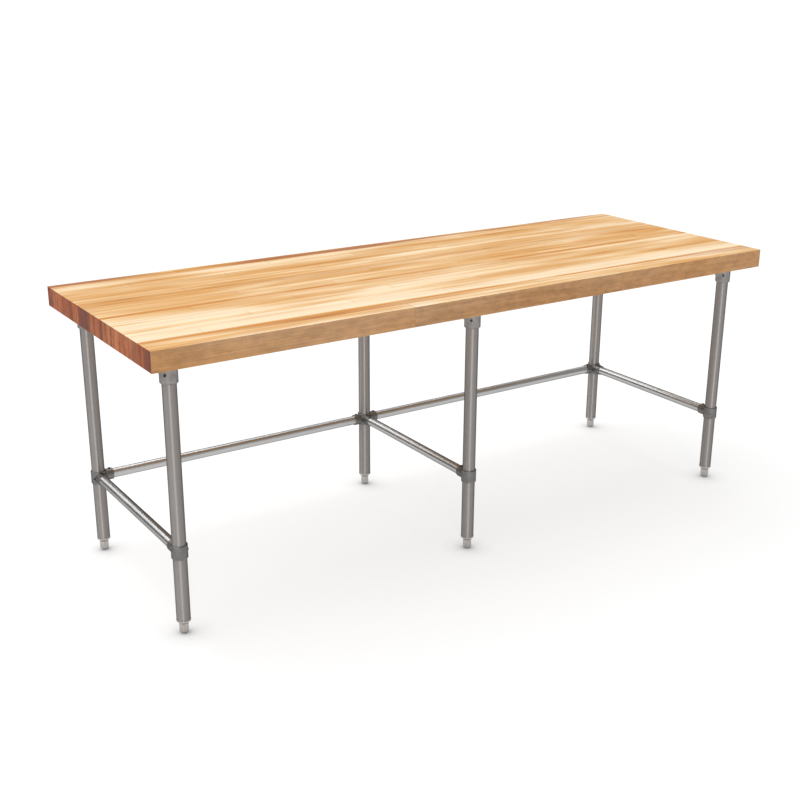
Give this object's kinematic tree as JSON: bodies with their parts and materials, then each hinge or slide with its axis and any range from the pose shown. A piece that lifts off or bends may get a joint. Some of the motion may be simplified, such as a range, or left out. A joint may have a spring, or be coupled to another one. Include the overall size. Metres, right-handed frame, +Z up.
{
  "type": "butcher block table",
  "caption": "Long work table: a laminated maple butcher block on tubular steel legs, tied near the floor by cross rails and a rear rail, with screw-in levelling feet.",
  "frame": {"origin": "on the floor, under the middle of the block", "axes": "+X along the block to the right as seen from the front, +Y to the back where the rear rail is, +Z up"},
  "size_m": [2.1336, 0.762, 0.8191],
  "materials": {
    "maple": "oiled, sanded smooth",
    "cast_fitting": "cast, matt grey",
    "leg_tube": "brushed along the tube",
    "rail_tube": "polished",
    "foot_insert": "satin",
    "bullet_foot": "satin",
    "fastener": "zinc plated"
  },
  "bodies": {
    "table": {"brace_fitting_back_left": "cast_fitting", "brace_fitting_back_middle": "cast_fitting", "brace_fitting_back_right": "cast_fitting", "brace_fitting_front_left": "cast_fitting", "brace_fitting_front_middle": "cast_fitting", "brace_fitting_front_right": "cast_fitting", "brace_set_screws": "fastener", "cross_rail_left": "rail_tube", "cross_rail_middle": "rail_tube", "cross_rail_right": "rail_tube", "flange_screws": "fastener", "foot_insert_back_left": "foot_insert", "foot_insert_back_middle": "foot_insert", "foot_insert_back_right": "foot_insert", "foot_insert_front_left": "foot_insert", "foot_insert_front_middle": "foot_insert", "foot_insert_front_right": "foot_insert", "leg_back_left": "leg_tube", "leg_back_middle": "leg_tube", "leg_back_right": "leg_tube", "leg_front_left": "leg_tube", "leg_front_middle": "leg_tube", "leg_front_right": "leg_tube", "leg_socket_back_left": "cast_fitting", "leg_socket_back_middle": "cast_fitting", "leg_socket_back_right": "cast_fitting", "leg_socket_front_left": "cast_fitting", "leg_socket_front_middle": "cast_fitting", "leg_socket_front_right": "cast_fitting", "rear_rail_left": "rail_tube", "rear_rail_right": "rail_tube", "socket_set_screws": "fastener", "stave_01": "maple", "stave_02": "maple", "stave_03": "maple", "stave_04": "maple", "stave_05": "maple", "stave_06": "maple", "stave_07": "maple", "stave_08": "maple", "stave_09": "maple", "stave_10": "maple", "stave_11": "maple", "stave_12": "maple", "stave_13": "maple", "stave_14": "maple", "stave_15": "maple", "stave_16": "maple", "stave_17": "maple", "stave_18": "maple"},
    "front_left_foot": {"foot_front_left": "bullet_foot"},
    "front_middle_foot": {"foot_front_middle": "bullet_foot"},
    "front_right_foot": {"foot_front_right": "bullet_foot"},
    "back_left_foot": {"foot_back_left": "bullet_foot"},
    "back_middle_foot": {"foot_back_middle": "bullet_foot"},
    "back_right_foot": {"foot_back_right": "bullet_foot"}
  },
  "joints": [
    {"name": "level_front_left", "type": "slide", "parent": "table", "child": "front_left_foot", "axis": [0, 0, -1], "range_m": [0, 0.0254]},
    {"name": "level_front_middle", "type": "slide", "parent": "table", "child": "front_middle_foot", "axis": [0, 0, -1], "range_m": [0, 0.0254]},
    {"name": "level_front_right", "type": "slide", "parent": "table", "child": "front_right_foot", "axis": [0, 0, -1], "range_m": [0, 0.0254]},
    {"name": "level_back_left", "type": "slide", "parent": "table", "child": "back_left_foot", "axis": [0, 0, -1], "range_m": [0, 0.0254]},
    {"name": "level_back_middle", "type": "slide", "parent": "table", "child": "back_middle_foot", "axis": [0, 0, -1], "range_m": [0, 0.0254]},
    {"name": "level_back_right", "type": "slide", "parent": "table", "child": "back_right_foot", "axis": [0, 0, -1], "range_m": [0, 0.0254]}
  ]
}
